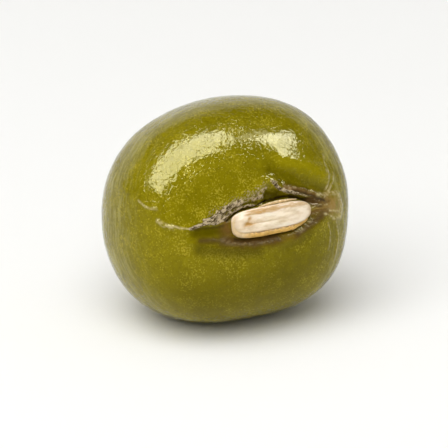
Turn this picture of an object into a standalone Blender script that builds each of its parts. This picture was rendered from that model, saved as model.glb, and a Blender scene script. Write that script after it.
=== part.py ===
"""A mung bean lying on its side, as one solid seed with the scar that it hung by in the pod.

Metres, with +Z up. X runs along the seed, the scar faces -Y and a little upwards, and the seed
rests on a small flat spot at Z = 0, with the origin under the middle of its box.
"""

import math

import bmesh
import bpy
from mathutils import Matrix, Vector

MM = 0.001
NODE = "mung_bean"

# The plain seed, before its swells and its scar
HALF_LENGTH = 2.34 * MM
DEPTH_TO_SCAR = 1.91 * MM
DEPTH_TO_BACK = 2.07 * MM
HALF_THICKNESS = 2.13 * MM
END_SQUARENESS = 2.46
SIDE_SQUARENESS = 2.33

# The scar is turned up from level by this much, and the seed's underside is worn flat this deep
SCAR_TURNED_UP = math.radians(14)
FLAT_SPOT_DEPTH = 0.07 * MM

# Low swells and hollows that the two seed leaves press into the coat: where each lies, how far it
# stands out as a share of the radius, and how wide it is in degrees
SWELLS = (
    ("shoulder over the far end", Vector((0.707, -0.280, 0.650)), 0.024, 26),
    ("crown", Vector((0.171, 0.060, 0.983)), 0.021, 36),
    ("hollow behind the near end", Vector((-0.664, 0.450, 0.596)), -0.067, 38),
    ("hollow under the near end", Vector((-0.773, 0.333, -0.539)), -0.031, 38),
    ("hollow underneath", Vector((-0.018, -0.143, -0.990)), -0.029, 38),
    ("hollow under the back", Vector((0.000, 0.700, -0.714)), -0.030, 26),
    ("heel under the far end", Vector((0.611, -0.432, -0.663)), 0.027, 26),
    ("knob at the far end", Vector((0.883, -0.462, 0.086)), 0.032, 16),
)

# Places around the scar are given along the seed (u, towards +X) and across it (v, upwards), on a
# sphere of this radius
SCAR_SPHERE = 1.95 * MM

# The scar: a pad of pale corky tissue with round ends, a groove round it, and a thin rim that shows
# more below the pad than above it
SCAR_MIDDLE = 0.045 * MM
SCAR_STRAIGHT = 0.635 * MM
SCAR_ROUNDNESS = 2.8
PAD_EDGE = 0.215 * MM
PAD_EDGE_SLOPE = 0.028 * MM
PAD_RISE = 0.115 * MM
PAD_CROWN = 0.020 * MM
GROOVE_AT = 0.246 * MM
GROOVE_DEPTH = 0.026 * MM
GROOVE_WIDTH = 0.016 * MM
RIM_AT = 0.272 * MM
RIM_DROP = 0.028 * MM
RIM_RISE = 0.055 * MM
RIM_WIDTH = 0.026 * MM
SLIT_DEPTH = 0.016 * MM
SLIT_WIDTH = 0.030 * MM
PIT_U = -0.50 * MM
PIT_DEPTH = 0.030 * MM
PIT_WIDTH = 0.060 * MM

# The trough that the scar lies in, and the folds of skin along it
TROUGH_DEPTH = 0.120 * MM
LOWER_SLOPE = (-0.05 * MM, 0.22 * MM)
FOLD_RISE = 0.032 * MM
FOLD_WIDTH = 0.090 * MM
POCKET = (0.14 * MM, 0.46 * MM)
POCKET_DEPTH = 0.055 * MM
POCKET_WIDTH = 0.150 * MM

# The lens: the boss beyond the scar's far end, with wrinkles that run out from it
LENS = (1.48 * MM, -0.03 * MM)
LENS_RISE = 0.030 * MM
LENS_WIDTH = 0.170 * MM
WRINKLES = 12
WRINKLE_RISE = 0.014 * MM
WRINKLE_REACH = 0.45 * MM
WRINKLE_SPREAD = 0.24 * MM

# The mesh: rings drawn out along the scar, close together there and wider towards the back
SEGMENTS = 88
RINGS = 64
FIRST_RINGS = 1.40 * MM
RING_STRETCH = 0.712 * MM
RING_STRETCH_OVER = 0.080 * MM
RING_SQUARE_OVER = 0.60 * MM

COAT_GREEN = (0.235, 0.205, 0.010, 1.0)
SCAR_CREAM = (0.855, 0.745, 0.560, 1.0)


def bell(distance, width):
    """A smooth hump, 1 in the middle and gone at about twice the width."""
    return math.exp(-((distance / width) ** 2))


def ease(start, end, value):
    """0 before start, 1 past end, and smooth between them. start may be the larger."""
    share = min(1.0, max(0.0, (value - start) / (end - start)))
    return share * share * (3.0 - 2.0 * share)


def seed_radius(toward):
    """The seed's radius in a direction, without its scar."""
    depth = DEPTH_TO_SCAR if toward.y < 0.0 else DEPTH_TO_BACK
    girth = abs(toward.y / depth) ** SIDE_SQUARENESS + abs(toward.z / HALF_THICKNESS) ** SIDE_SQUARENESS
    length = abs(toward.x / HALF_LENGTH) ** END_SQUARENESS
    radius = (length + girth ** (END_SQUARENESS / SIDE_SQUARENESS)) ** (-1.0 / END_SQUARENESS)
    swell = 1.0
    for _, middle, height, reach in SWELLS:
        swell += height * bell(math.degrees(toward.angle(middle)), reach)
    return radius * swell


def fold_line(u):
    """The crest of the fold over the scar: a long rise from the near end, a peak, and a fall."""
    return 0.02 * MM + 0.50 * MM * bell(u + 0.12 * MM, 0.98 * MM) + 0.20 * MM * bell(u - 0.12 * MM, 0.26 * MM)


def floor_line(u):
    """Where the slope down from the fold reaches the floor of the trough."""
    return 0.345 * MM * bell(u - 0.12 * MM, 0.88 * MM)


def lower_lip(u):
    """How far below the scar's midline the trough ends."""
    return -0.10 * MM - 0.40 * MM * bell(u + 0.10 * MM, 1.05 * MM)


def trough(u, v):
    """The hollow round the scar, between its slopes and its two corners."""
    upper = ease(fold_line(u), floor_line(u), v)
    lower = ease(lower_lip(u) + LOWER_SLOPE[0], lower_lip(u) + LOWER_SLOPE[1], v)
    along = ease(-1.70 * MM, -0.80 * MM, u) * ease(1.40 * MM, 0.90 * MM, u)
    return -TROUGH_DEPTH * along * upper * lower


def folds(u, v):
    """The raised skin along the trough, with the pocket under its peak."""
    along = ease(-1.85 * MM, -1.25 * MM, u) * ease(1.40 * MM, 0.95 * MM, u)
    upper = bell(v - fold_line(u), FOLD_WIDTH)
    lower = 0.35 * bell(v - lower_lip(u), 1.5 * FOLD_WIDTH)
    pocket = bell(math.hypot(u - POCKET[0], v - POCKET[1]), POCKET_WIDTH)
    return FOLD_RISE * along * (upper + lower) - POCKET_DEPTH * pocket


def outline_distance(u, v):
    """How far a place is from the scar's midline, by a measure that keeps its round-ended outline."""
    beyond = max(abs(u - SCAR_MIDDLE) - SCAR_STRAIGHT, 0.0)
    return (beyond**SCAR_ROUNDNESS + abs(v) ** SCAR_ROUNDNESS) ** (1.0 / SCAR_ROUNDNESS)


def scar(u, v):
    """The pad with its slit and pit, the groove round it, and the rim."""
    out = outline_distance(u, v)
    on_pad = ease(PAD_EDGE + PAD_EDGE_SLOPE, PAD_EDGE - PAD_EDGE_SLOPE, out)
    height = on_pad * (PAD_RISE + PAD_CROWN * (1.0 - min(1.0, out / PAD_EDGE) ** 2))
    height -= GROOVE_DEPTH * bell(out - GROOVE_AT, GROOVE_WIDTH)
    height += RIM_RISE * bell(outline_distance(u, v + RIM_DROP) - RIM_AT, RIM_WIDTH)
    slit = bell(v, SLIT_WIDTH) * ease(0.75 * MM, 0.45 * MM, abs(u))
    pit = bell(math.hypot(u - PIT_U, v), PIT_WIDTH)
    return height - SLIT_DEPTH * slit - PIT_DEPTH * pit


def lens(u, v):
    """The boss beyond the scar, and the wrinkles that fan out from it."""
    du, dv = u - LENS[0], v - LENS[1]
    out = math.hypot(du, dv)
    boss = LENS_RISE * bell(out, LENS_WIDTH)
    fan = WRINKLE_RISE * math.cos(WRINKLES * math.atan2(dv, du)) * bell(out - WRINKLE_REACH, WRINKLE_SPREAD)
    return boss + fan


def seed_point(toward):
    """The place on the finished seed in a direction from its middle."""
    u = SCAR_SPHERE * math.atan2(toward.x, -toward.y)
    v = SCAR_SPHERE * math.asin(max(-1.0, min(1.0, toward.z)))
    relief = trough(u, v) + folds(u, v) + scar(u, v) + lens(u, v)
    return toward * (seed_radius(toward) + relief)


def ring_direction(co):
    """Turns a point of the plain ball, with its pole at +Z, into a direction from the seed's middle.

    The pole becomes the middle of the scar. The first rings are drawn out along it, and the last
    ones are round again at the back.
    """
    half_turn = math.pi * SCAR_SPHERE
    share = math.acos(max(-1.0, min(1.0, co.z))) / math.pi
    around = math.atan2(co.y, co.x)
    across = FIRST_RINGS * share + (half_turn - FIRST_RINGS) * share**3
    stretch = RING_STRETCH * (1.0 - math.exp(-across / RING_STRETCH_OVER)) * (1.0 - across / half_turn) ** 2
    power = 2.0 / (2.0 + bell(across, RING_SQUARE_OVER))
    c, s = math.cos(around), math.sin(around)
    u = (across + stretch) * math.copysign(abs(c) ** power, c)
    v = across * math.copysign(abs(s) ** power, s)
    out = max(math.hypot(u, v), 1e-12)
    turn = out / SCAR_SPHERE
    direction = Vector((math.sin(turn) * u / out, -math.cos(turn), math.sin(turn) * v / out))
    return Matrix.Rotation(SCAR_MIDDLE / SCAR_SPHERE, 3, "Z") @ direction


def rest_on_flat_spot(bm):
    """Turns the seed to how it lies, cuts its underside flat and stands it at the origin."""
    bmesh.ops.rotate(bm, verts=bm.verts, matrix=Matrix.Rotation(-SCAR_TURNED_UP, 3, "X"))
    cut = min(v.co.z for v in bm.verts) + FLAT_SPOT_DEPTH
    everything = bm.verts[:] + bm.edges[:] + bm.faces[:]
    made = bmesh.ops.bisect_plane(
        bm, geom=everything, dist=1e-7, plane_co=(0.0, 0.0, cut), plane_no=(0.0, 0.0, -1.0), clear_outer=True
    )
    rim = [e for e in made["geom_cut"] if isinstance(e, bmesh.types.BMEdge)]
    bmesh.ops.contextual_create(bm, geom=rim)
    low = [min(v.co[i] for v in bm.verts) for i in range(3)]
    high = [max(v.co[i] for v in bm.verts) for i in range(3)]
    middle = Vector(((low[0] + high[0]) / 2, (low[1] + high[1]) / 2, low[2]))
    bmesh.ops.translate(bm, verts=bm.verts, vec=-middle)


def material(name, colour, roughness):
    made = bpy.data.materials.new(name)
    made.use_nodes = True
    shader = made.node_tree.nodes["Principled BSDF"]
    shader.inputs["Base Color"].default_value = colour
    shader.inputs["Roughness"].default_value = roughness
    shader.inputs["Metallic"].default_value = 0.0
    return made


def make_bean():
    bm = bmesh.new()
    bmesh.ops.create_uvsphere(bm, u_segments=SEGMENTS, v_segments=RINGS, radius=1.0)
    pad_faces = []
    for face in bm.faces:
        direction = ring_direction(face.calc_center_median().normalized())
        u = SCAR_SPHERE * math.atan2(direction.x, -direction.y)
        v = SCAR_SPHERE * math.asin(direction.z)
        if outline_distance(u, v) < PAD_EDGE:
            pad_faces.append(face)
    for vert in bm.verts:
        vert.co = seed_point(ring_direction(vert.co))
    for face in pad_faces:
        face.material_index = 1
    rest_on_flat_spot(bm)
    bmesh.ops.recalc_face_normals(bm, faces=bm.faces)
    mesh = bpy.data.meshes.new(NODE)
    bm.to_mesh(mesh)
    bm.free()
    mesh.materials.append(material("seed_coat", COAT_GREEN, 0.28))
    mesh.materials.append(material("scar_tissue", SCAR_CREAM, 0.65))
    mesh.shade_smooth()
    mesh.set_sharp_from_angle(angle=math.radians(50))
    bean = bpy.data.objects.new(NODE, mesh)
    bpy.context.scene.collection.objects.link(bean)
    return bean


def main():
    for old in list(bpy.data.objects):
        bpy.data.objects.remove(old, do_unlink=True)
    make_bean()


main()
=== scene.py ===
"""A mung bean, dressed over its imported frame: the crinkled coat, the corky scar with its rim, and
the dry skins round the scar, on a pale floor under soft lamps.

Metres, with +Z up. The bean's own shape is worked out in its own frame, where the scar faces -Y,
and then turned and set down in the frame's box.
"""

import math
from functools import partial

import bmesh
import bpy
import numpy as np
from bpy.props import FloatProperty, FloatVectorProperty, IntProperty, PointerProperty
from mathutils import Matrix, Vector, noise


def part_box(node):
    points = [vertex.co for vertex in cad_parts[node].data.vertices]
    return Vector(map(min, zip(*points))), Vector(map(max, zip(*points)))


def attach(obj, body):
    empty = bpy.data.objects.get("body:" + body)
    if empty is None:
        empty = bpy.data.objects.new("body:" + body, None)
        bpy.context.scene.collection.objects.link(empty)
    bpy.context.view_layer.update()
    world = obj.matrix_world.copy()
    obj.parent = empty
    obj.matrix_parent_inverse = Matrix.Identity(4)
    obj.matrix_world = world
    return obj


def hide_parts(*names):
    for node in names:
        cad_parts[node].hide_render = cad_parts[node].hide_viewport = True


bl_info = {
    "name": "Mung bean",
    "version": (1, 0, 0),
    "blender": (4, 5, 0),
    "location": "3D View > Sidebar > Mung bean",
    "description": "Dresses a mung bean with its coat, its scar and its dry skins",
    "category": "Add Mesh",
}

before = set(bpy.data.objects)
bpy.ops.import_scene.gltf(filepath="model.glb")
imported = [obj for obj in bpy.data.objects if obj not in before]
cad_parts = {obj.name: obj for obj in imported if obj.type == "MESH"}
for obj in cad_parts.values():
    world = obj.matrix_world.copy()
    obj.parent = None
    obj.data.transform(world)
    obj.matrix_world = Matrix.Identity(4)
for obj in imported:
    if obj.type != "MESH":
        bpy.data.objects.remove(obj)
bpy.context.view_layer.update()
NODE = "mung_bean"
MM = 0.001

# The plain seed, before its swells and its scar
HALF_LENGTH = 2.34 * MM
DEPTH_TO_SCAR = 1.91 * MM
DEPTH_TO_BACK = 2.07 * MM
HALF_THICKNESS = 2.13 * MM
END_SQUARENESS = 2.46
SIDE_SQUARENESS = 2.33
SCAR_TURNED_UP = math.radians(14)
FLAT_SPOT_DEPTH = 0.07 * MM

# Low swells and hollows of the coat: where each lies, its share of the radius, its width in degrees
SWELLS = (
    ("shoulder over the far end", (0.707, -0.280, 0.650), 0.024, 26),
    ("crown", (0.171, 0.060, 0.983), 0.021, 36),
    ("hollow behind the near end", (-0.664, 0.450, 0.596), -0.067, 38),
    ("hollow under the near end", (-0.773, 0.333, -0.539), -0.031, 38),
    ("hollow underneath", (-0.018, -0.143, -0.990), -0.029, 38),
    ("hollow under the back", (0.000, 0.700, -0.714), -0.030, 26),
    ("heel under the far end", (0.611, -0.432, -0.663), 0.027, 26),
    ("knob at the far end", (0.883, -0.462, 0.086), 0.032, 16),
)

# Places round the scar are u along the seed, towards +X, and v across it, on a sphere of this radius
SCAR_SPHERE = 1.95 * MM
# The pad and the rim under it, each as its middle and half its length and width
PAD_MIDDLE = (0.045 * MM, 0.000 * MM)
PAD_HALF = (0.865 * MM, 0.235 * MM)
RIM_MIDDLE = (0.042 * MM, -0.052 * MM)
RIM_HALF = (0.868 * MM, 0.285 * MM)
TROUGH_DEPTH = 0.120 * MM
FOLD_RISE = 0.020 * MM
FOLD_WIDTH = 0.100 * MM
LOWER_FOLD_SHARE = 0.3
LOWER_FOLD_DROP = 0.08 * MM
LOWER_SLOPE = (-0.05 * MM, 0.22 * MM)
LENS = (1.48 * MM, -0.03 * MM)
LENS_RISE = 0.030 * MM
LENS_WIDTH = 0.170 * MM

# Where a form starts, is whole, begins to fade and ends: the first four along u, the lines by how
# far round from the scar they are
TROUGH_SPAN = (-1.70 * MM, -0.80 * MM, 0.90 * MM, 1.40 * MM)
FOLD_SPAN = (-1.85 * MM, -1.25 * MM, 0.95 * MM, 1.40 * MM)
SLIT_SPAN = (-0.62 * MM, -0.45 * MM, -0.20 * MM, 0.60 * MM)
PLEAT_SPAN = (1.20 * MM, 1.75 * MM, 2.20 * MM, 2.80 * MM)
LINE_SPAN = (math.radians(62), math.radians(96), math.radians(105), math.radians(165))

# Lines that run beside the scar, as (u, v) in millimetres: where the upper slope of its trough
# starts, where that slope ends, and where the lower slope comes back up to the coat
FOLD_LINE = (
    (-1.60, 0.02),
    (-1.25, 0.20),
    (-0.75, 0.42),
    (-0.25, 0.55),
    (0.12, 0.69),
    (0.45, 0.43),
    (0.75, 0.31),
    (1.35, 0.02),
)
FLOOR_LINE = (
    (-1.60, 0.00),
    (-1.00, 0.03),
    (-0.60, 0.23),
    (0.00, 0.33),
    (0.60, 0.29),
    (1.00, 0.12),
    (1.35, -0.02),
)
LOWER_LINE = (
    (-1.60, -0.16),
    (-1.00, -0.34),
    (-0.45, -0.48),
    (0.20, -0.48),
    (0.80, -0.35),
    (1.35, -0.08),
)

# Strokes over the trough and its edges: which tint each one carries and how strongly, its width and
# how far it stands up in millimetres, and the (u, v) of its bends. Some tints are painted light and
# shade: the darkest tint and a darker olive are painted shade in gaps, crevices, hollows and on the
# lower cheek, a brighter green is painted light on a swell, and pale glints and specks are painted
# highlights
STROKES = (
    ("tip of the frosted slope", "frost", 1.0, 0.030, 0.008, ((-1.50, 0.03), (-1.25, 0.09))),
    ("start of the frosted slope", "frost", 1.0, 0.055, 0.010, ((-1.25, 0.10), (-1.00, 0.20))),
    ("foot of the frosted slope", "frost", 1.0, 0.040, 0.010, ((-1.15, 0.07), (-0.92, 0.12))),
    ("frosted slope", "frost", 0.72, 0.080, 0.010, ((-1.00, 0.21), (-0.78, 0.31), (-0.60, 0.36))),
    (
        "thin frost on the slope", "frost", 0.34, 0.095, 0.008,
        ((-0.62, 0.37), (-0.40, 0.43), (-0.08, 0.53)),
    ),
    ("end of the frosted slope", "frost", 0.36, 0.060, 0.008, ((-0.12, 0.52), (-0.02, 0.58))),
    (
        "fuzz over the slope", "frost", 0.23, 0.130, 0.000,
        ((-1.15, 0.24), (-0.75, 0.42), (-0.30, 0.54), (0.00, 0.62)),
    ),
    (
        "silver strand", "frost", 0.8, 0.024, 0.024,
        ((-0.95, 0.12), (-0.72, 0.23), (-0.45, 0.30), (-0.12, 0.29)),
    ),
    ("tuft", "frost", 0.5, 0.050, 0.016, ((-0.33, 0.38), (-0.08, 0.43))),
    ("peak", "frost", 0.40, 0.055, 0.010, ((0.12, 0.67), (0.22, 0.62))),
    (
        "far lip", "frost", 0.9, 0.024, 0.030,
        ((0.14, 0.64), (0.30, 0.49), (0.48, 0.40), (0.64, 0.345)),
    ),
    ("far lip's end", "frost", 0.5, 0.018, 0.024, ((0.62, 0.35), (0.86, 0.245))),
    (
        "grains behind the lip", "frost", 0.34, 0.011, 0.008,
        ((0.76, 0.42), (0.89, 0.375), (1.13, 0.23), (1.28, 0.16)),
    ),
    ("fibre", "frost", 0.5, 0.014, 0.018, ((0.92, 0.11), (1.03, 0.07), (1.12, 0.05))),
    ("fibre", "frost", 0.4, 0.013, 0.014, ((1.00, 0.16), (1.14, 0.10))),
    ("fibre", "tan", 0.8, 0.014, 0.012, ((0.92, -0.03), (1.15, -0.03), (1.32, -0.05))),
    ("fibre", "pale", 0.9, 0.012, 0.012, ((0.90, 0.03), (1.00, 0.00), (1.14, 0.03), (1.28, 0.01))),
    ("fibre", "pale", 0.8, 0.011, 0.012, ((0.95, 0.10), (1.03, 0.02))),
    # Painted shade, in the darkest tint: in the gaps between the strands, over the pad and the crust,
    # in the crevices and on the mauve's near end
    (
        "gap between the strands", "painted_shade", 0.65, 0.022, -0.026,
        ((-1.05, 0.15), (-0.80, 0.26), (-0.50, 0.34), (-0.22, 0.345)),
    ),
    (
        "gap at the near end", "painted_shade", 0.60, 0.030, -0.015,
        ((-1.45, 0.00), (-1.20, -0.01), (-0.98, -0.02)),
    ),
    ("shade of the mauve", "painted_shade", 0.32, 0.050, 0.000, ((-1.36, -0.19), (-1.02, -0.26))),
    (
        "gap over the pad", "painted_shade", 1.0, 0.028, -0.040,
        ((-0.88, 0.06), (-0.72, 0.20), (-0.40, 0.26), (0.00, 0.335)),
    ),
    (
        "gap over the crust", "painted_shade", 1.0, 0.034, -0.040,
        ((0.00, 0.335), (0.35, 0.345), (0.60, 0.31), (0.86, 0.19)),
    ),
    (
        "crevice at the far end", "painted_shade", 0.8, 0.034, -0.035,
        ((0.58, 0.39), (0.86, 0.29), (1.05, 0.18), (1.26, 0.08)),
    ),
    # Painted shade, in a darker olive and in the darkest tint: in the pocket, the valleys behind the
    # lip and the hollow under the far end
    ("pocket", "painted_shade_olive", 0.85, 0.110, -0.050, ((0.02, 0.45), (0.26, 0.42))),
    ("shade in the pocket", "painted_shade", 0.20, 0.080, 0.000, ((0.00, 0.42), (0.32, 0.39))),
    (
        "valley behind the lip", "painted_shade_olive", 0.8, 0.090, -0.034,
        ((0.32, 0.64), (0.60, 0.50), (0.95, 0.35)),
    ),
    (
        "shade behind it", "painted_shade_olive", 0.60, 0.130, -0.050,
        ((0.20, 0.84), (0.60, 0.68), (1.00, 0.42), (1.30, 0.25)),
    ),
    # Painted light: a brighter green on the swell, where it faces the lamps
    (
        "swell behind the shade", "painted_light", 0.55, 0.150, 0.030,
        ((0.50, 0.98), (1.00, 0.74), (1.32, 0.50)),
    ),
    (
        "hollow under the far end", "painted_shade_olive", 0.45, 0.110, -0.015,
        ((0.28, -0.64), (0.60, -0.60), (0.80, -0.46)),
    ),
    # Painted shade, in a darker olive: over the lower half of the bean and in the tongue at the near
    # end
    (
        "shade of the lower cheek", "painted_shade_olive", 0.42, 0.600, 0.000,
        ((-1.70, -1.30), (-0.70, -1.45), (0.50, -1.20)),
    ),
    ("tongue at the near end", "painted_shade_olive", 0.85, 0.085, 0.000, ((-1.45, -0.07), (-1.00, -0.10))),
    (
        # Painted shade, in the darkest tint: under the pad and under its far end
        "shade under the pad", "painted_shade", 0.65, 0.026, -0.020,
        ((-0.78, -0.30), (-0.45, -0.355), (0.00, -0.37), (0.45, -0.35)),
    ),
    (
        "shade under the far end", "painted_shade", 0.6, 0.024, -0.020,
        ((0.45, -0.35), (0.70, -0.27), (0.88, -0.14)),
    ),
    (
        "brown at the near end", "brown", 0.95, 0.110, 0.000,
        ((-0.90, 0.05), (-0.94, -0.04), (-0.88, -0.14)),
    ),
    ("brown under the middle", "brown", 0.6, 0.090, 0.000, ((-0.10, -0.44), (0.50, -0.43))),
    (
        "brown behind the lip", "brown", 1.2, 0.060, 0.000,
        ((0.40, 0.50), (0.62, 0.41), (0.85, 0.32), (1.05, 0.21)),
    ),
    (
        "brown round the crevice", "brown", 1.2, 0.100, 0.000,
        ((1.00, 0.20), (1.12, 0.08), (1.30, 0.05)),
    ),
    (
        "brown under the fibres", "brown", 1.0, 0.060, 0.000,
        ((0.88, -0.12), (1.05, -0.08), (1.30, -0.05)),
    ),
    ("mauve near end", "mauve", 0.75, 0.055, 0.000, ((-1.38, -0.19), (-1.02, -0.26))),
    (
        "mauve under the pad", "mauve", 1.05, 0.100, 0.000,
        ((-1.00, -0.26), (-0.70, -0.36), (-0.40, -0.42), (0.10, -0.44)),
    ),
    (
        "mauve far end", "mauve", 0.95, 0.078, 0.000,
        ((0.56, -0.41), (0.78, -0.32), (1.05, -0.20), (1.34, -0.07)),
    ),
    (
        "mauve by the crevice", "mauve", 1.2, 0.050, 0.000,
        ((0.90, 0.17), (1.10, 0.06), (1.18, 0.00)),
    ),
    # Painted shade, in a darker olive: under the mauve band
    (
        "shade under the mauve", "painted_shade_olive", 0.75, 0.130, 0.000,
        ((-1.40, -0.33), (-0.85, -0.50), (-0.35, -0.58)),
    ),
    ("lens", "tan", 1.0, 0.170, 0.000, ((1.38, 0.02), (1.48, -0.06))),
    ("edge of the lens", "pale", 1.6, 0.050, 0.014, ((1.62, 0.08), (1.68, -0.08), (1.62, -0.24))),
    (
        "streak on the lens", "pale", 1.2, 0.032, 0.014,
        ((1.10, 0.22), (1.26, 0.16), (1.42, 0.19), (1.62, 0.12)),
    ),
    (
        "streak on the lens", "pale", 1.0, 0.024, 0.012,
        ((1.22, -0.14), (1.45, -0.26), (1.62, -0.25)),
    ),
    ("streak on the lens", "pale", 1.1, 0.018, 0.010, ((1.30, -0.08), (1.56, -0.16))),
    ("wrinkle", "pale", 1.1, 0.018, 0.016, ((1.30, 0.20), (1.40, 0.33), (1.46, 0.54))),
    ("wrinkle", "pale", 1.1, 0.018, 0.014, ((1.38, 0.20), (1.50, 0.33), (1.60, 0.46))),
    ("wrinkle", "pale", 0.6, 0.014, 0.012, ((1.40, 0.48), (1.42, 0.62), (1.50, 0.80))),
    ("wrinkle", "pale", 0.6, 0.016, 0.014, ((1.26, -0.30), (1.32, -0.50), (1.30, -0.76))),
    ("wrinkle", "pale", 0.7, 0.020, 0.016, ((1.48, -0.28), (1.58, -0.56), (1.56, -1.00))),
    # Painted highlights: pale glints on the ridges before the tip and beyond it
    (
        "glint before the tip", "pale", 1.0, 0.030, 0.022,
        ((-2.02, 0.19), (-1.92, 0.12), (-1.78, 0.08)),
    ),
    (
        "thread before the tip", "pale", 1.0, 0.013, 0.016,
        ((-1.82, 0.11), (-1.64, 0.05), (-1.48, 0.02)),
    ),
    ("glint beyond it", "pale", 0.9, 0.014, 0.014, ((-2.38, 0.52), (-2.22, 0.41), (-2.02, 0.38))),
    # Painted glints: pale specks over the slope, by the shine and round the scar
    (
        "specks over the slope", "painted_sparkle", 0.8, 0.100, 0.000,
        ((-1.30, 0.25), (-0.85, 0.46), (-0.25, 0.64), (0.10, 0.74)),
    ),
    ("specks at the peak", "painted_sparkle", 1.0, 0.060, 0.010, ((0.12, 0.70), (0.45, 0.58))),
    (
        "specks under the pad", "painted_sparkle", 1.0, 0.110, 0.000,
        ((-1.25, -0.44), (-0.75, -0.55), (-0.25, -0.60)),
    ),
    (
        "specks at the far end", "painted_sparkle", 1.0, 0.100, 0.000,
        ((0.55, -0.66), (0.95, -0.50), (1.22, -0.38)),
    ),
    ("specks at the near end", "painted_sparkle", 0.7, 0.080, 0.000, ((-2.20, -0.30), (-1.65, -0.32))),
    ("specks by the shine", "painted_sparkle", 0.7, 0.090, 0.000, ((-1.55, 0.98), (-1.10, 0.92))),
)
TINTS = ("frost", "painted_shade", "painted_shade_olive", "painted_light", "brown", "mauve", "tan", "pale", "painted_sparkle")

# The coat's mesh: a cube cut this many times each way, blown up round, drawn towards the scar
COAT_CUTS = 127
COAT_DRAWN = 0.62
COAT_DRAWN_POWER = 1.5

# The coat's patterns, each with its size and most with how high it stands: broad lumps, wrinkles
# and the creases between them, pimples, the grit of the dry skin, the strands of the frost, which
# slant up to the right, the pleats past the lens and the growth lines
BROAD_SIZE, BROAD_RISE = 0.85 * MM, 0.010 * MM
WRINKLE_SIZE = 0.16 * MM
CREASE_SIZE, CREASE_WIDTH = 0.26 * MM, 0.10
PIMPLE_SIZE, PIMPLE_START = 0.075 * MM, 0.15
GRIT_SIZE, GRIT_RISE = 0.060 * MM, 0.0022 * MM
STRAND_SIZE, STRAND_RISE = 0.030 * MM, 0.009 * MM
FROST_SLANT = math.radians(38)
PLEAT_SIZE, PLEAT_RISE = 0.070 * MM, 0.0030 * MM
LINE_SIZE, LINE_RISE = 0.048 * MM, 0.0022 * MM
LINE_WANDER_SIZE, LINE_WANDER = 0.6 * MM, 0.10 * MM

# Sizes of the patterns that the materials draw: the coat's specks, which are painted glints, and how
# they crowd together, the frost's hairs, the wax's hairlines and the height of its grain, the cork's
# streaks, the dry skin's patches and the cracks in it
SPECK_SIZE = 0.032 * MM
CROWD_SIZE = 0.35 * MM
HAIR_SIZE = 0.022 * MM
HAIRLINE_SIZE = 0.15 * MM
WAX_GRAIN = 0.002 * MM
CORK_SIZE = 0.10 * MM
SKIN_SIZE = 0.07 * MM
CRACK_SIZE = 0.04 * MM

# The edges of the dry skin wander by this much, in lumps of this size, up to this far from the scar
WANDER, WANDER_SIZE = 0.030 * MM, 0.11 * MM
DRY_SKIN_WIDTH, DRY_SKIN_STRETCH = 0.9 * MM, 1.9

# A calm patch above the scar, and how much of the wrinkles its thicker wax hides
CALM = (0.50 * MM, 1.37 * MM)
CALM_WIDTH, CALM_STRETCH = 0.40 * MM, 2.0
CALMED = 0.70

# The outline of the pad and the rim, from square at 0 to oval at 1, and rounder at the far end
OUTLINE_POWER = 0.60
FAR_END_ROUNDER = 0.16

# The pad is a ball with its rings spread and its top pressed flat. It lies a little under the plain
# seed, and has a pit with a dent beside it, a slit, and a low hump at its near end
RING_POWER = 0.72
TOP_POWER = 0.55
PAD_LEVEL, PAD_RISE = -0.045 * MM, 0.075 * MM
PIT, PIT_WIDTH, PIT_DEPTH = (-0.50 * MM, -0.045 * MM), 0.058 * MM, 0.018 * MM
PIT_STRETCH = 1.9
DENT, DENT_WIDTH = (-0.46 * MM, 0.065 * MM), 0.036 * MM
SLIT_V, SLIT_WIDTH, SLIT_DEPTH = -0.045 * MM, 0.014 * MM, 0.007 * MM
SLIT_WANDER_SIZE, SLIT_WANDER = 0.4 * MM, 0.02 * MM
HUMP, HUMP_WIDTH, HUMP_RISE = (-0.60 * MM, 0.05 * MM), 0.12 * MM, 0.012 * MM
HUMP_STRETCH = 1.5
FRAY_SIZE, FRAY = 0.06 * MM, 0.022 * MM
SPONGE_SIZE, SPONGE_RISE = 0.070 * MM, 0.006 * MM
STREAK_SIZE, STREAK_SHIFT = 0.040 * MM, 0.02 * MM

# The rim is a ring of this tube, drawn out to a band, sunk deeper at the far end
RIM_TUBE = 0.1
RIM_BAND = 0.060 * MM
RIM_LEVEL, RIM_RISE, RIM_SUNK = -0.060 * MM, 0.066 * MM, 0.048 * MM

# The crust: its middle, half its length and width, how far its ends bend down, and its height
CRUST = (0.19 * MM, 0.268 * MM)
CRUST_HALF_LENGTH, CRUST_HALF_WIDTH = 0.44 * MM, 0.030 * MM
CRUST_BEND = 0.030 * MM
CRUST_LEVEL, CRUST_RISE, CRUST_RAGGED = -0.030 * MM, 0.034 * MM, 0.010 * MM

# The lamps: the way to each from the bean, the way its long side runs, half its sides as shares of
# its distance, its watts, and whether it gives the bean its shine or fills it with light
LAMP_DISTANCE = 150 * MM
LAMPS = (
    ("long_lamp", (-0.383, 0.000, 0.924), (-0.920, 0.110, -0.380), (0.92, 0.33), 3.50, "shine"),
    ("side_lamp", (0.635, -0.214, 0.742), (-0.245, 0.830, 0.501), (0.135, 0.155), 0.235, "shine"),
    ("link_lamp", (0.500, -0.170, 0.850), (0.286, -0.178, -0.200), (0.14, 0.11), 0.056, "shine"),
    ("back_lamp", (0.47, 0.82, 0.33), (0.87, -0.50, 0.0), (1.50, 0.35), 0.16, "shine"),
    ("key_lamp", (-0.42, -0.32, 0.80), (0.60, -0.80, 0.0), (0.60, 0.60), 0.264, "fill"),
)

# The strength of the room's even light, and half the floor's side
ROOM_LIGHT = 0.40
FLOOR_HALF = 600 * MM

# The camera: its turn about the bean and its height, and how far right of the bean's middle and
# below it the camera aims
CAMERA_TURN = math.radians(-30)
CAMERA_RAISED = math.radians(20)
SENSOR_WIDTH = 36.0
AIM_RIGHT, AIM_DOWN = 0.040 * MM, 0.238 * MM


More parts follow.
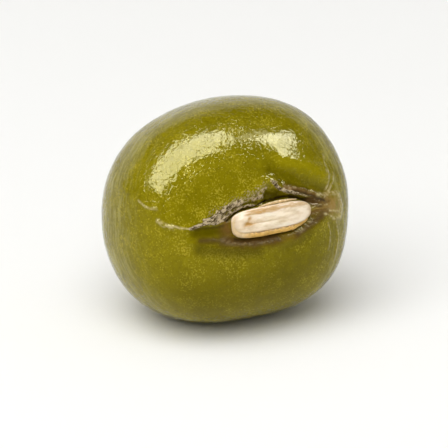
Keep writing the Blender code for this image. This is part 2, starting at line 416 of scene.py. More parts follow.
class BeanSettings(bpy.types.PropertyGroup):
    """Sizes and colours that a user would change."""

    crinkle: FloatProperty(
        name="Crinkle height",
        description="How high the coat's wrinkles stand",
        default=0.0024 * MM,
        subtype="DISTANCE",
        unit="LENGTH",
        precision=6,
    )
    seed: IntProperty(
        name="Pattern number",
        description="Another number gives the same bean with other wrinkles and flecks",
        default=7,
    )
    coat_green: FloatVectorProperty(
        name="Coat",
        description="The coat's green where the light falls full on it",
        subtype="COLOR",
        default=(0.200, 0.165, 0.0024),
    )
    pad_cream: FloatVectorProperty(
        name="Scar",
        description="The pale corky tissue of the scar",
        subtype="COLOR",
        default=(0.90, 0.775, 0.595),
    )
    camera_distance: FloatProperty(
        name="Camera distance",
        description="From the camera to the middle of the bean",
        default=70 * MM,
        subtype="DISTANCE",
        unit="LENGTH",
    )
    view_width: FloatProperty(
        name="Width of view",
        description="How much the picture takes in, from side to side, at the bean",
        default=8.533 * MM,
        subtype="DISTANCE",
        unit="LENGTH",
        precision=5,
    )


def linear(hex_colour):
    """An sRGB hex colour, such as "#887d0a", as linear red, green, blue and alpha."""
    parts = [int(hex_colour[i : i + 2], 16) / 255 for i in (1, 3, 5)]
    return (*[c / 12.92 if c <= 0.04045 else ((c + 0.055) / 1.055) ** 2.4 for c in parts], 1.0)


def bell(distance, width):
    """A smooth hump, 1 in the middle and gone at about twice the width."""
    return np.exp(-((distance / width) ** 2))


def ease(start, end, value):
    """0 before start, 1 past end, and smooth between them. start may be the larger."""
    share = np.clip((value - start) / (end - start), 0.0, 1.0)
    return share * share * (3.0 - 2.0 * share)


def span_share(value, span):
    """1 between the middle two of a span's four places, 0 outside it, and smooth between them."""
    start, whole, fading, end = span
    return ease(start, whole, value) * ease(end, fading, value)


def spot(u, v, middle, width, stretch=1.0):
    """A smooth round hump, or one that is stretched along the scar."""
    return bell(np.hypot((u - middle[0]) / stretch, v - middle[1]), width)


def grain(points, size, seed, octaves=1):
    """Smooth random numbers, about -1 to 1, that vary over this size, at each point."""
    offset = Vector((seed * 17.3, seed * 5.1, seed * 11.7))
    scaled = [Vector(p) + offset for p in (points / size).tolist()]
    if octaves == 1:
        return np.array([noise.noise(p) for p in scaled])
    return np.array([noise.fractal(p, 0.8, 2.1, octaves) for p in scaled])


def seed_radius(toward):
    """The seed's radius in each direction, without its scar."""
    x, y, z = toward.T
    depth = np.where(y < 0.0, DEPTH_TO_SCAR, DEPTH_TO_BACK)
    girth = np.abs(y / depth) ** SIDE_SQUARENESS + np.abs(z / HALF_THICKNESS) ** SIDE_SQUARENESS
    length = np.abs(x / HALF_LENGTH) ** END_SQUARENESS
    radius = (length + girth ** (END_SQUARENESS / SIDE_SQUARENESS)) ** (-1.0 / END_SQUARENESS)
    swell = np.ones(len(toward))
    for _, middle, height, reach in SWELLS:
        middle = np.array(middle) / np.linalg.norm(middle)
        angle = np.degrees(np.arccos(np.clip(toward @ middle, -1.0, 1.0)))
        swell += height * bell(angle, reach)
    return radius * swell


def scar_place(toward):
    """Where each direction lies along (u) and across (v) the scar."""
    u = SCAR_SPHERE * np.arctan2(toward[:, 0], -toward[:, 1])
    v = SCAR_SPHERE * np.arcsin(np.clip(toward[:, 2], -1.0, 1.0))
    return u, v


def scar_direction(u, v):
    """The direction from the seed's middle to each place round the scar."""
    lon, lat = u / SCAR_SPHERE, v / SCAR_SPHERE
    return np.stack([np.sin(lon) * np.cos(lat), -np.cos(lon) * np.cos(lat), np.sin(lat)], axis=-1)


def smooth_line(u, points):
    """The height, at each u, of a smooth line through a few points, level past its ends."""
    along, height = np.array(points).T * MM
    slope = np.gradient(height, along)
    i = np.clip(np.searchsorted(along, u) - 1, 0, len(along) - 2)
    step = along[i + 1] - along[i]
    t = np.clip((u - along[i]) / step, 0.0, 1.0)
    start = (height[i] * (1.0 + 2.0 * t) + step * slope[i] * t) * (1.0 - t) ** 2
    end = (height[i + 1] * (3.0 - 2.0 * t) + step * slope[i + 1] * (t - 1.0)) * t**2
    return start + end


def path_distance(u, v, bends):
    """How far each place is from a path of straight stretches."""
    nearest = np.full(len(u), np.inf)
    for start, end in zip(bends, bends[1:]):
        start, end = np.array(start) * MM, np.array(end) * MM
        run = end - start
        t = np.clip(((u - start[0]) * run[0] + (v - start[1]) * run[1]) / (run @ run), 0.0, 1.0)
        nearest = np.minimum(nearest, np.hypot(u - start[0] - t * run[0], v - start[1] - t * run[1]))
    return nearest


def trough_share(u, v):
    """1 on the trough's floor, 0 on the coat outside it."""
    upper = ease(smooth_line(u, FOLD_LINE), smooth_line(u, FLOOR_LINE), v)
    lower_edge = smooth_line(u, LOWER_LINE)
    lower = ease(lower_edge + LOWER_SLOPE[0], lower_edge + LOWER_SLOPE[1], v)
    return span_share(u, TROUGH_SPAN) * upper * lower


def fold_share(u, v):
    """1 along the crest of the fold over the scar, less along the fold under it."""
    upper = bell(v - smooth_line(u, FOLD_LINE), FOLD_WIDTH)
    lower = bell(v - smooth_line(u, LOWER_LINE) + LOWER_FOLD_DROP, FOLD_WIDTH)
    return span_share(u, FOLD_SPAN) * (upper + LOWER_FOLD_SHARE * lower)


def coat_relief(toward, settings):
    """How far the coat stands out from the plain seed in each direction, with its tints.

    Each pattern adds a number of its own to the seed, so that no two of them are alike.
    """
    u, v = scar_place(toward)
    points = toward * seed_radius(toward)[:, None]
    seed = settings.seed
    wander = WANDER * spot(u, v, (0.0, 0.0), DRY_SKIN_WIDTH, DRY_SKIN_STRETCH)
    u_warped = u + wander * grain(points, WANDER_SIZE, seed + 20, 3)
    v_warped = v + wander * grain(points, WANDER_SIZE, seed + 21, 3)

    tints = {name: np.zeros(len(u)) for name in TINTS}
    relief = FOLD_RISE * fold_share(u, v) - TROUGH_DEPTH * trough_share(u_warped, v_warped)
    relief += LENS_RISE * spot(u, v, LENS, LENS_WIDTH)
    for _, tint, strength, width, rise, bends in STROKES:
        share = bell(path_distance(u_warped, v_warped, bends), width * MM)
        relief += rise * MM * share
        tints[tint] = np.clip(np.maximum(tints[tint], strength * share), 0.0, 1.0)

    # The frost stands in slanting strands, drawn out along their length, and gives way to the painted
    # shade in the gaps
    tints["frost"] *= 1.0 - 0.75 * tints["painted_shade"]
    along = u * math.cos(FROST_SLANT) + v * math.sin(FROST_SLANT)
    across = v * math.cos(FROST_SLANT) - u * math.sin(FROST_SLANT)
    strand = grain(np.stack([0.42 * along, across, 0.0 * u], axis=-1), STRAND_SIZE, seed + 5, 3)
    grit = grain(points, GRIT_SIZE, seed + 6, 2)
    relief += STRAND_RISE * tints["frost"] * strand
    relief += GRIT_RISE * np.maximum(tints["mauve"], tints["brown"]) * grit

    broad = grain(points, BROAD_SIZE, seed + 1)
    wrinkle = grain(points, WRINKLE_SIZE, seed + 2, 3)
    crease = bell(grain(points, CREASE_SIZE, seed + 3), CREASE_WIDTH)
    pimples = np.maximum(grain(points, PIMPLE_SIZE, seed + 4, 2) - PIMPLE_START, 0.0)
    crinkles = 1.1 * wrinkle - 0.7 * crease + 0.5 * grit + 2.0 * pimples
    calm = spot(u, v, CALM, CALM_WIDTH, CALM_STRETCH)
    smooth = 1.0 - np.clip(tints["frost"] + tints["painted_shade"], 0.0, 1.0)
    smooth *= 1.0 - CALMED * calm
    relief += BROAD_RISE * broad + settings.crinkle * smooth * crinkles

    # Pleats fan out past the lens, and beyond them fine growth lines run round the scar
    fan = span_share(u, PLEAT_SPAN)
    pleats = grain(np.stack([u_warped, 0.25 * v, 0.0 * u], axis=-1), PLEAT_SIZE, seed + 7, 3)
    relief += PLEAT_RISE * pleats * fan
    turned = np.arccos(np.clip(-toward[:, 1], -1.0, 1.0))
    ring = SCAR_SPHERE * turned + wander
    ring += LINE_WANDER * grain(points, LINE_WANDER_SIZE, seed + 30, 2)
    around = np.stack([ring, 0.12 * points[:, 0], 0.12 * points[:, 2]], axis=-1)
    lines = grain(around, LINE_SIZE, seed + 31, 3)
    outer = span_share(turned, LINE_SPAN)
    relief += LINE_RISE * lines * outer

    tints["rough"] = 1.0 - 0.75 * calm
    tints["pale"] *= np.clip(0.60 + 1.3 * grain(points, 0.045 * MM, seed + 32, 2), 0.0, 1.0)
    tints["tan"] *= np.clip(0.72 + 0.9 * grain(points, 0.09 * MM, seed + 33, 2), 0.0, 1.0)
    tints["strand"] = np.clip(0.5 + 0.9 * strand, 0.0, 1.0)
    # The pale colour laid on the growth lines and the pleats is painted sheen, for the pale grazing
    # reflection along the bean's edges
    on_lines = outer * np.clip(0.15 + 1.5 * lines, 0.0, 0.85)
    on_pleats = fan * np.clip(0.20 + 1.3 * pleats, 0.0, 0.85)
    tints["lines_and_sheen"] = np.maximum(on_lines, on_pleats)
    return relief, tints


def to_frame(points):
    """Turns points of the seed's own frame to how it lies."""
    turn = np.array(Matrix.Rotation(-SCAR_TURNED_UP, 3, "X"))
    return points @ turn.T


def find_middle():
    """Where the seed's own middle stands in the frame, for its box and its flat spot to meet the
    CAD solid's."""
    turns = np.linspace(0.0, 2.0 * math.pi, 361)[:-1]
    tilts = np.linspace(0.0, math.pi, 181)
    turn, tilt = (a.ravel() for a in np.meshgrid(turns, tilts))
    level = np.sin(tilt)
    toward = np.stack([level * np.cos(turn), level * np.sin(turn), np.cos(tilt)], axis=-1)
    points = to_frame(toward * seed_radius(toward)[:, None])
    low, high = points.min(axis=0), points.max(axis=0)
    box_low, box_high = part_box(NODE)
    middle = (box_low + box_high) / 2 - Vector((low + high) / 2)
    middle.z = box_low.z - (low[2] + FLAT_SPOT_DEPTH)
    return middle


MIDDLE = find_middle()


def new_piece(name, bm, material):
    """Makes a finished piece from a bmesh that stands in the frame, and ties it to the part."""
    bmesh.ops.recalc_face_normals(bm, faces=bm.faces)
    mesh = bpy.data.meshes.new(name)
    bm.to_mesh(mesh)
    bm.free()
    mesh.materials.append(material)
    mesh.shade_smooth()
    piece = bpy.data.objects.new(name, mesh)
    bpy.context.scene.collection.objects.link(piece)
    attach(piece, "root")
    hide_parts(NODE)
    return piece


def store_masks(mesh, masks):
    """Stores each mask on the mesh's vertices, for its material to read."""
    for name, values in masks.items():
        layer = mesh.attributes.new(name, "FLOAT", "POINT")
        layer.data.foreach_set("value", np.asarray(values, dtype=np.float32))


def move_verts(bm, points):
    """Puts each vertex where its point, given in the seed's own frame, lies in the frame."""
    for vert, place in zip(bm.verts, (to_frame(points) + np.array(MIDDLE)).tolist()):
        vert.co = place


def make_node(tree, kind, inputs=None, **settings):
    """Adds a shader node with its settings. Each of inputs is a value or another node's output."""
    node = tree.nodes.new(kind)
    for name, value in settings.items():
        setattr(node, name, value)
    for key, value in (inputs or {}).items():
        if isinstance(value, bpy.types.NodeSocket):
            tree.links.new(value, node.inputs[key])
        else:
            node.inputs[key].default_value = value
    return node


# The colour sockets of a Mix node, whose names are also those of its other sockets
MIX_A, MIX_B, MIX_RESULT = 6, 7, 2


def new_material(name):
    """A new material, with its tree and its shader."""
    material = bpy.data.materials.new(name)
    material.use_nodes = True
    return material, material.node_tree, material.node_tree.nodes["Principled BSDF"]


def waxed_seed_coat(settings):
    """Waxed seed coat, dried on the bean: glossy olive skin, finely crinkled, dull by the scar."""
    material, tree, shader = new_material("waxed_seed_coat")
    add = partial(make_node, tree)
    place = add("ShaderNodeTexCoord").outputs["Object"]
    masks = {
        name: add("ShaderNodeAttribute", attribute_name=name).outputs["Fac"]
        for name in (*TINTS, "strand", "lines_and_sheen", "rough")
    }

    # Clouds under the wax: each one's size, the part of the noise it takes up, how much it shows,
    # and its green
    light_green = tuple(1.75 * c for c in settings.coat_green) + (1.0,)
    dark_green = tuple(0.62 * c for c in settings.coat_green) + (1.0,)
    colour = (*settings.coat_green, 1.0)
    for size, low, high, share, tone in (
        (0.80 * MM, 0.40, 0.65, 0.40, dark_green),
        (0.20 * MM, 0.50, 0.72, 0.30, light_green),
        (0.10 * MM, 0.50, 0.68, 0.38, dark_green),
        (0.05 * MM, 0.52, 0.64, 0.35, dark_green),
    ):
        lumps = add("ShaderNodeTexNoise", {"Vector": place, "Scale": 1.0 / size, "Detail": 2.0})
        part = {"Value": lumps.outputs["Fac"], "From Min": low, "From Max": high, "To Max": share}
        spread = add("ShaderNodeMapRange", part)
        layers = {0: spread.outputs[0], MIX_A: colour, MIX_B: tone}
        colour = add("ShaderNodeMix", layers, data_type="RGBA").outputs[MIX_RESULT]

    # Pale specks, crowded together in places: painted glints, for the sparkle of the wax's fine
    # bumps.
    # The real ones are finer than the render shows, so they are drawn about twice as coarse
    fine = add("ShaderNodeTexNoise", {"Vector": place, "Scale": 1.0 / SPECK_SIZE, "Detail": 1.5})
    crowd = add("ShaderNodeTexNoise", {"Vector": place, "Scale": 1.0 / CROWD_SIZE, "Detail": 3.0})
    dense = add(
        "ShaderNodeMath",
        {0: crowd.outputs["Fac"], 1: 0.45, 2: fine.outputs["Fac"]},
        operation="MULTIPLY_ADD",
    )
    dense = add(
        "ShaderNodeMath",
        {0: masks["painted_sparkle"], 1: 0.10, 2: dense.outputs[0]},
        operation="MULTIPLY_ADD",
    )
    part = {"Value": dense.outputs[0], "From Min": 0.79, "From Max": 0.93, "To Max": 0.50}
    painted_sparkle = add("ShaderNodeMapRange", part)

    # The frost is hairs of silver with dark gaps, and single hairs reach out past its edge. Its
    # silver is the dry skin's pale grey with painted glints where the hairs catch the lamps, and its
    # dark gaps are painted shade
    slanted = add(
        "ShaderNodeMapping",
        {"Vector": place, "Rotation": (0.0, -FROST_SLANT, 0.0), "Scale": (2.6, 1.0, 1.0)},
        vector_type="TEXTURE",
    )
    hairs = add(
        "ShaderNodeTexNoise",
        {"Vector": slanted.outputs["Vector"], "Scale": 1.0 / HAIR_SIZE, "Detail": 2.0},
    )
    woven = add(
        "ShaderNodeMath",
        {0: masks["strand"], 1: 0.32, 2: hairs.outputs["Fac"]},
        operation="MULTIPLY_ADD",
    )
    part = {"Value": woven.outputs[0], "From Min": 0.57, "From Max": 0.74}
    gaps = add("ShaderNodeMapRange", part)
    silver_and_glints = add(
        "ShaderNodeMix",
        {0: gaps.outputs[0], MIX_A: linear("#4c3d22"), MIX_B: linear("#c0ae8d")},
        data_type="RGBA",
    )
    reach = add(
        "ShaderNodeMath",
        {0: masks["frost"], 1: 2.0, 2: hairs.outputs["Fac"]},
        operation="MULTIPLY_ADD",
    )
    part = {"Value": reach.outputs[0], "From Min": 0.93, "From Max": 1.36}
    frost = add("ShaderNodeMapRange", part)
    # The tints over the coat: the pale on the growth lines is painted sheen, the specks are painted
    # glints, the olive and the darkest tint are painted shade, the brighter green is painted light,
    # and the frost's silver holds painted glints; brown, mauve and tan are the dry skin's own
    # colours, and so is pale, except in the glints before the tip
    for share, tone in (
        (masks["lines_and_sheen"], linear("#9a9248")),
        (painted_sparkle.outputs[0], linear("#b6a732")),
        (masks["painted_shade_olive"], linear("#4c4300")),
        (masks["painted_light"], linear("#988c0c")),
        (masks["brown"], linear("#6a4d1e")),
        (masks["mauve"], linear("#503917")),
        (masks["tan"], linear("#9b7f44")),
        (masks["pale"], linear("#bfb07c")),
        (masks["painted_shade"], linear("#2c1f0a")),
        (frost.outputs[0], silver_and_glints.outputs[MIX_RESULT]),
    ):
        layers = {0: share, MIX_A: colour, MIX_B: tone}
        colour = add("ShaderNodeMix", layers, data_type="RGBA").outputs[MIX_RESULT]
    tree.links.new(colour, shader.inputs["Base Color"])

    # Wax is glossy and the dry skin dull. Wax has an IOR of about 1.44, but with these lamps 1.22
    # gives the shine that the photo shows
    dry = add("ShaderNodeMath", {0: masks["mauve"], 1: masks["brown"]}, operation="MAXIMUM")
    dry = add("ShaderNodeMath", {0: dry.outputs[0], 1: masks["frost"]}, operation="MAXIMUM")
    rough = add("ShaderNodeMapRange", {"Value": dry.outputs[0], "To Min": 0.06, "To Max": 0.45})
    tree.links.new(rough.outputs[0], shader.inputs["Roughness"])
    shader.inputs["IOR"].default_value = 1.22
    shader.inputs["Specular Tint"].default_value = (1.0, 0.95, 0.50, 1.0)

    # The wax's own grain, finer than the mesh, and hairline creases that wander across it
    bump = add(
        "ShaderNodeBump",
        {"Strength": masks["rough"], "Distance": WAX_GRAIN, "Height": fine.outputs["Fac"]},
    )
    wander = add("ShaderNodeTexNoise", {"Vector": place, "Scale": 1.0 / HAIRLINE_SIZE, "Detail": 2.0})
    middle = add("ShaderNodeMath", {0: wander.outputs["Fac"], 1: 0.5}, operation="SUBTRACT")
    middle = add("ShaderNodeMath", {0: middle.outputs[0]}, operation="ABSOLUTE")
    crease = add("ShaderNodeMapRange", {"Value": middle.outputs[0], "From Max": 0.05})
    bump = add(
        "ShaderNodeBump",
        {
            "Strength": masks["rough"],
            "Distance": WAX_GRAIN,
            "Height": crease.outputs[0],
            "Normal": bump.outputs[0],
        },
    )
    tree.links.new(bump.outputs["Normal"], shader.inputs["Normal"])
    return material


def corky_scar_tissue(settings):
    """Corky tissue, torn off its stalk: dull cream, spongy, with a pinkish brown pit."""
    material, tree, shader = new_material("corky_scar_tissue")
    add = partial(make_node, tree)
    place = add("ShaderNodeTexCoord").outputs["Object"]
    stretched = add("ShaderNodeMapping", {"Vector": place, "Scale": (0.35, 1.0, 1.0)})
    lumps = add(
        "ShaderNodeTexNoise",
        {"Vector": stretched.outputs["Vector"], "Scale": 1.0 / CORK_SIZE, "Detail": 4.0},
    ).outputs["Fac"]
    part = {"Value": lumps, "From Min": 0.46, "From Max": 0.72, "To Max": 0.75}
    colour = (*settings.pad_cream, 1.0)
    layers = [(add("ShaderNodeMapRange", part).outputs[0], linear("#cdb387"))]
    for mask, tone in (
        ("gilt", linear("#bb9148")),
        ("edge", linear("#c8ac80")),
        # The slit's darker tone is painted shade in its groove
        ("slit", linear("#c9ac80")),
        ("pit", linear("#b98936")),
    ):
        layers.append((add("ShaderNodeAttribute", attribute_name=mask).outputs["Fac"], tone))
    for share, tone in layers:
        mixed = add("ShaderNodeMix", {0: share, MIX_A: colour, MIX_B: tone}, data_type="RGBA")
        colour = mixed.outputs[MIX_RESULT]
    tree.links.new(colour, shader.inputs["Base Color"])
    shader.inputs["Roughness"].default_value = 0.55
    shader.inputs["Subsurface Weight"].default_value = 0.25
    shader.inputs["Subsurface Radius"].default_value = (1.0, 0.6, 0.35)
    shader.inputs["Subsurface Scale"].default_value = 0.06 * MM
    bump = add("ShaderNodeBump", {"Strength": 0.6, "Distance": 0.008 * MM, "Height": lumps})
    tree.links.new(bump.outputs["Normal"], shader.inputs["Normal"])
    return material


def dry_rim_skin():
    """Dried skin of the stalk, left as a rim: tan, with paler parts and a row of brown cracks."""
    material, tree, shader = new_material("dry_rim_skin")
    add = partial(make_node, tree)
    place = add("ShaderNodeTexCoord").outputs["Object"]
    lumps = add(
        "ShaderNodeTexNoise", {"Vector": place, "Scale": 1.0 / SKIN_SIZE, "Detail": 3.0}
    ).outputs["Fac"]
    part = {"Value": lumps, "From Min": 0.45, "From Max": 0.70, "To Max": 0.85}
    darker = add("ShaderNodeMapRange", part).outputs[0]
    pale = add("ShaderNodeAttribute", attribute_name="pale").outputs["Fac"]
    crack = add("ShaderNodeAttribute", attribute_name="crack").outputs["Fac"]
    dots = add("ShaderNodeTexNoise", {"Vector": place, "Scale": 1.0 / CRACK_SIZE, "Detail": 1.0})
    part = {"Value": dots.outputs["Fac"], "From Min": 0.42, "From Max": 0.55}
    broken = add("ShaderNodeMapRange", part).outputs[0]
    cracks = add("ShaderNodeMath", {0: crack, 1: broken}, operation="MULTIPLY").outputs[0]
    colour = linear("#d6ab58")
    for share, tone in (
        (darker, linear("#b28a42")),
        (pale, linear("#cfb487")),
        (cracks, linear("#563310")),
    ):
        mixed = add("ShaderNodeMix", {0: share, MIX_A: colour, MIX_B: tone}, data_type="RGBA")
        colour = mixed.outputs[MIX_RESULT]
    tree.links.new(colour, shader.inputs["Base Color"])
    shader.inputs["Roughness"].default_value = 0.45
    shader.inputs["Specular IOR Level"].default_value = 0.25
    bump = add("ShaderNodeBump", {"Strength": 0.7, "Distance": 0.006 * MM, "Height": lumps})
    tree.links.new(bump.outputs["Normal"], shader.inputs["Normal"])
    return material


class BEAN_OT_coat(bpy.types.Operator):
    """Blow a cube up into the bean and raise its folds, trough and wrinkles"""

    bl_idname = "bean.coat"
    bl_label = "Seed coat"

    def execute(self, context):
        settings = context.scene.bean
        bm = bmesh.new()
        bmesh.ops.create_cube(bm, size=2.0)
        bmesh.ops.subdivide_edges(bm, edges=bm.edges[:], cuts=COAT_CUTS, use_grid_fill=True)
        cube = np.array([v.co[:] for v in bm.verts])

        # The tangent keeps the cube's squares alike on the ball. Then each point moves towards the
        # scar, more so the nearer it is, which makes the mesh finest there
        ball = np.tan(cube * math.pi / 4)
        ball /= np.linalg.norm(ball, axis=1)[:, None]
        turn = np.arccos(np.clip(-ball[:, 1], -1.0, 1.0))
        drawn = turn * (COAT_DRAWN + (1.0 - COAT_DRAWN) * (turn / math.pi) ** COAT_DRAWN_POWER)
        ring = np.hypot(ball[:, 0], ball[:, 2])
        ring = np.where(ring < 1e-9, 1.0, ring)
        spread = np.sin(drawn) / ring
        toward = np.stack([ball[:, 0] * spread, -np.cos(drawn), ball[:, 2] * spread], axis=-1)
        relief, masks = coat_relief(toward, settings)
        move_verts(bm, toward * (seed_radius(toward) + relief)[:, None])
        for name, values in masks.items():
            layer = bm.verts.layers.float.new(name)
            for vert, value in zip(bm.verts, values.tolist()):
                vert[layer] = value

        # The flat spot that it rests on
        made = bmesh.ops.bisect_plane(
            bm,
            geom=bm.verts[:] + bm.edges[:] + bm.faces[:],
            dist=1e-8,
            plane_co=(0.0, 0.0, 0.0),
            plane_no=(0.0, 0.0, -1.0),
            clear_outer=True,
        )
        rim = [e for e in made["geom_cut"] if isinstance(e, bmesh.types.BMEdge)]
        bmesh.ops.contextual_create(bm, geom=rim)
        new_piece("seed_coat", bm, waxed_seed_coat(settings))
        return {"FINISHED"}


def lay_on_scar(cos, sin, out, middle, half):
    """Places in a long outline with rounded ends: cos and sin give the way from its middle, and out
    how far towards its edge."""
    power = OUTLINE_POWER + FAR_END_ROUNDER * np.maximum(cos, 0.0)
    u = middle[0] + half[0] * out * np.sign(cos) * np.abs(cos) ** power
    v = middle[1] + half[1] * out * np.sign(sin) * np.abs(sin) ** power
    return u, v, scar_direction(u, v)


class BEAN_OT_scar_pad(bpy.types.Operator):
    """Press a ball into the scar's long pad of corky tissue"""

    bl_idname = "bean.scar_pad"
    bl_label = "Scar pad"

    def execute(self, context):
        settings = context.scene.bean
        seed = settings.seed
        bm = bmesh.new()
        bmesh.ops.create_uvsphere(bm, u_segments=240, v_segments=120, radius=1.0)
        ball = np.array([v.co[:] for v in bm.verts])
        level = ball[:, 2]
        flat = np.hypot(ball[:, 0], ball[:, 1])
        out = np.clip(flat, 0.0, 1.0) ** RING_POWER
        cos, sin = ball[:, 0] / np.maximum(flat, 1e-9), ball[:, 1] / np.maximum(flat, 1e-9)
        rise = np.sign(level) * np.abs(level) ** TOP_POWER
        u, v, toward = lay_on_scar(cos, sin, out, PAD_MIDDLE, PAD_HALF)
        points = toward * seed_radius(toward)[:, None]

        frayed = FRAY * grain(points, FRAY_SIZE, seed + 11, 2)
        pit = spot(u + frayed, v + frayed, PIT, PIT_WIDTH, PIT_STRETCH)
        dent = 0.6 * spot(u - frayed, v, DENT, DENT_WIDTH)
        slit = bell(v - SLIT_V - SLIT_WANDER * grain(points, SLIT_WANDER_SIZE, 3), SLIT_WIDTH)
        slit *= span_share(u, SLIT_SPAN)
        spongy = grain(points * np.array([0.40, 1.0, 1.0]), SPONGE_SIZE, seed + 9, 3)
        streaky = grain(points * np.array([0.25, 1.0, 1.0]), STREAK_SIZE, seed + 10, 3)
        top = ease(-0.2, 0.4, rise)
        height = PAD_LEVEL + PAD_RISE * rise
        height += HUMP_RISE * spot(u, v, HUMP, HUMP_WIDTH, HUMP_STRETCH)
        height += top * (SPONGE_RISE * spongy - PIT_DEPTH * pit - SLIT_DEPTH * slit)
        move_verts(bm, toward * (seed_radius(toward) + height)[:, None])

        # The pad is tan along its upper side, except at its near end
        gilt = ease(0.085 * MM, 0.140 * MM, v + STREAK_SHIFT * streaky)
        gilt *= ease(-0.62 * MM, -0.45 * MM, u) * (1.0 - 0.20 * ease(0.0, 0.35 * MM, u))
        tints = {
            "pit": np.clip((1.3 * pit + 1.4 * dent) * top, 0.0, 1.0),
            # The slit is drawn darker: painted shade in its groove
            "slit": 0.7 * slit * top,
            "gilt": gilt * np.clip(1.05 + 0.8 * streaky, 0.0, 1.0),
            "edge": np.maximum(ease(0.86, 1.0, out), 0.9 * ease(-0.60 * MM, -0.80 * MM, u)),
        }
        pad = new_piece("scar_pad", bm, corky_scar_tissue(settings))
        store_masks(pad.data, tints)
        return {"FINISHED"}


class BEAN_OT_scar_rim(bpy.types.Operator):
    """Spin a ring and draw it out round the scar as its rim of dry skin"""

    bl_idname = "bean.scar_rim"
    bl_label = "Scar rim"

    def execute(self, context):
        settings = context.scene.bean
        bm = bmesh.new()
        side_on = Matrix.Translation((1.0, 0.0, 0.0)) @ Matrix.Rotation(math.pi / 2, 4, "X")
        bmesh.ops.create_circle(bm, segments=24, radius=RIM_TUBE, matrix=side_on)
        bmesh.ops.spin(
            bm,
            geom=bm.edges[:],
            angle=2 * math.pi,
            steps=400,
            axis=(0, 0, 1),
            cent=(0, 0, 0),
            use_merge=True,
        )
        ring = np.array([v.co[:] for v in bm.verts])
        far = np.hypot(ring[:, 0], ring[:, 1])
        across = (far - 1.0) / RIM_TUBE
        rise = ring[:, 2] / RIM_TUBE
        half = [size - RIM_BAND + RIM_BAND * across for size in RIM_HALF]
        u, v, toward = lay_on_scar(ring[:, 0] / far, ring[:, 1] / far, 1.0, RIM_MIDDLE, half)
        points = toward * seed_radius(toward)[:, None]
        ragged = grain(points, 0.09 * MM, settings.seed + 12, 3)
        near_end = ease(-0.40 * MM, -0.70 * MM, u)
        far_end = ease(0.42 * MM, 0.70 * MM, u)
        height = RIM_LEVEL - RIM_SUNK * far_end + RIM_RISE * rise * (1.0 + 0.25 * ragged)
        move_verts(bm, toward * (seed_radius(toward) + height)[:, None])
        crack = 0.65 * ease(-0.20, -0.65, across) * (1.0 - 0.7 * near_end)
        rim = new_piece("scar_rim", bm, dry_rim_skin())
        store_masks(rim.data, {"pale": near_end, "crack": crack})
        return {"FINISHED"}


class BEAN_OT_scar_crust(bpy.types.Operator):
    """Draw a ball out into the thin pale crust that is left along the scar's upper edge"""

    bl_idname = "bean.scar_crust"
    bl_label = "Scar crust"

    def execute(self, context):
        settings = context.scene.bean
        bm = bmesh.new()
        bmesh.ops.create_uvsphere(bm, u_segments=24, v_segments=260, radius=1.0)
        along_x = Matrix.Rotation(math.pi / 2, 3, "Y")
        bmesh.ops.rotate(bm, verts=bm.verts, cent=(0, 0, 0), matrix=along_x)
        ball = np.array([v.co[:] for v in bm.verts])
        u = CRUST[0] + CRUST_HALF_LENGTH * ball[:, 0]
        blunt = 0.55 + 0.45 * np.sqrt(np.maximum(1.0 - ball[:, 0] ** 2, 0.0))
        v = CRUST[1] - CRUST_BEND * ball[:, 0] ** 2 + CRUST_HALF_WIDTH * blunt * ball[:, 1]
        toward = scar_direction(u, v)
        points = toward * seed_radius(toward)[:, None]
        ragged = grain(points, 0.07 * MM, settings.seed + 14, 3)
        height = CRUST_LEVEL + CRUST_RISE * ball[:, 2] * (1.0 + 0.5 * ragged)
        height += CRUST_RAGGED * ragged
        move_verts(bm, toward * (seed_radius(toward) + height)[:, None])
        crust = new_piece("scar_crust", bm, dry_rim_skin())
        store_masks(crust.data, {"pale": np.full(len(u), 0.7), "crack": np.zeros(len(u))})
        return {"FINISHED"}


def camera_axes():
    """The camera's right, up and back, for its turn and height."""
    right = Vector((math.cos(CAMERA_TURN), math.sin(CAMERA_TURN), 0.0))
    level = Vector((math.sin(CAMERA_TURN), -math.cos(CAMERA_TURN), 0.0))
    back = level * math.cos(CAMERA_RAISED) + Vector((0.0, 0.0, math.sin(CAMERA_RAISED)))
    return right, back.cross(right), back


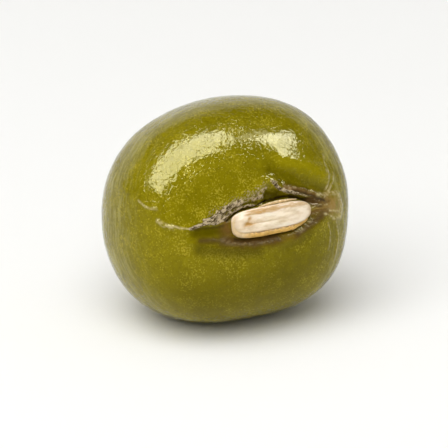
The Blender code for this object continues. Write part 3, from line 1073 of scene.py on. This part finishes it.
class BEAN_OT_studio(bpy.types.Operator):
    """Set the bean on a pale floor under soft lamps, in front of the camera"""

    bl_idname = "bean.studio"
    bl_label = "Studio"

    def execute(self, context):
        settings = context.scene.bean
        scene = context.scene
        scene.view_settings.view_transform = "Standard"
        bm = bmesh.new()
        bmesh.ops.create_grid(bm, x_segments=1, y_segments=1, size=FLOOR_HALF)
        floor_mesh = bpy.data.meshes.new("floor")
        bm.to_mesh(floor_mesh)
        bm.free()
        floor = bpy.data.objects.new("floor", floor_mesh)
        material, _, shader = new_material("pale_paper")
        shader.inputs["Base Color"].default_value = linear("#f4f4f2")
        shader.inputs["Roughness"].default_value = 0.9
        shader.inputs["Specular IOR Level"].default_value = 0.1
        floor_mesh.materials.append(material)
        scene.collection.objects.link(floor)

        for lamp in LAMPS:
            self.add_lamp(*lamp)

        # The room lights the bean evenly, but it doesn't show in the wax
        world = bpy.data.worlds.new("soft_room")
        world.use_nodes = True
        background = world.node_tree.nodes["Background"]
        background.inputs["Color"].default_value = (1.0, 0.99, 0.97, 1.0)
        background.inputs["Strength"].default_value = ROOM_LIGHT
        scene.world = world
        world.cycles_visibility.glossy = False

        right, up, back = camera_axes()
        camera = bpy.data.cameras.new("camera")
        camera.sensor_width = SENSOR_WIDTH
        camera.lens = SENSOR_WIDTH * settings.camera_distance / settings.view_width
        camera.clip_start = 0.1 * settings.camera_distance
        camera.clip_end = 10 * settings.camera_distance
        eye = bpy.data.objects.new("camera", camera)
        aim = MIDDLE + AIM_RIGHT * right - AIM_DOWN * up
        eye.location = aim + back * settings.camera_distance
        eye.rotation_euler = back.to_track_quat("Z", "Y").to_euler()
        scene.collection.objects.link(eye)
        scene.camera = eye
        return {"FINISHED"}

    def add_lamp(self, name, toward, along, half_sizes, power, use):
        """A soft box that faces the bean and is hidden from the camera."""
        toward = Vector(toward).normalized()
        along = Vector(along)
        along = (along - along.dot(toward) * toward).normalized()
        lamp = bpy.data.lights.new(name, "AREA")
        lamp.shape = "RECTANGLE"
        lamp.size = 2 * half_sizes[0] * LAMP_DISTANCE
        lamp.size_y = 2 * half_sizes[1] * LAMP_DISTANCE
        lamp.energy = power
        holder = bpy.data.objects.new(name, lamp)
        axes = Matrix((along, toward.cross(along), toward)).transposed()
        holder.rotation_euler = axes.to_euler()
        holder.location = MIDDLE + toward * LAMP_DISTANCE
        holder.visible_camera = False
        holder.visible_diffuse = use == "fill"
        holder.visible_glossy = use == "shine"
        bpy.context.scene.collection.objects.link(holder)


class BEAN_PT_pieces(bpy.types.Panel):
    """Lists the settings and a button for each piece"""

    bl_idname = "BEAN_PT_pieces"
    bl_label = "Mung bean"
    bl_space_type = "VIEW_3D"
    bl_region_type = "UI"
    bl_category = "Mung bean"

    def draw(self, context):
        settings = context.scene.bean
        for name in settings.bl_rna.properties.keys():
            if name not in ("rna_type", "name"):
                self.layout.prop(settings, name)
        for operator in PIECES:
            self.layout.operator(operator.bl_idname)


PIECES = (BEAN_OT_coat, BEAN_OT_scar_pad, BEAN_OT_scar_rim, BEAN_OT_scar_crust, BEAN_OT_studio)


def register():
    """Adds the settings, the operators and the panel."""
    for kind in (BeanSettings, *PIECES, BEAN_PT_pieces):
        bpy.utils.register_class(kind)
    bpy.types.Scene.bean = PointerProperty(type=BeanSettings)


def unregister():
    """Takes them away again."""
    del bpy.types.Scene.bean
    for kind in reversed((BeanSettings, *PIECES, BEAN_PT_pieces)):
        bpy.utils.unregister_class(kind)


def main():
    """Makes every piece and the stage."""
    register()
    bpy.ops.bean.coat()
    bpy.ops.bean.scar_pad()
    bpy.ops.bean.scar_rim()
    bpy.ops.bean.scar_crust()
    bpy.ops.bean.studio()


if __name__ == "__main__":
    main()
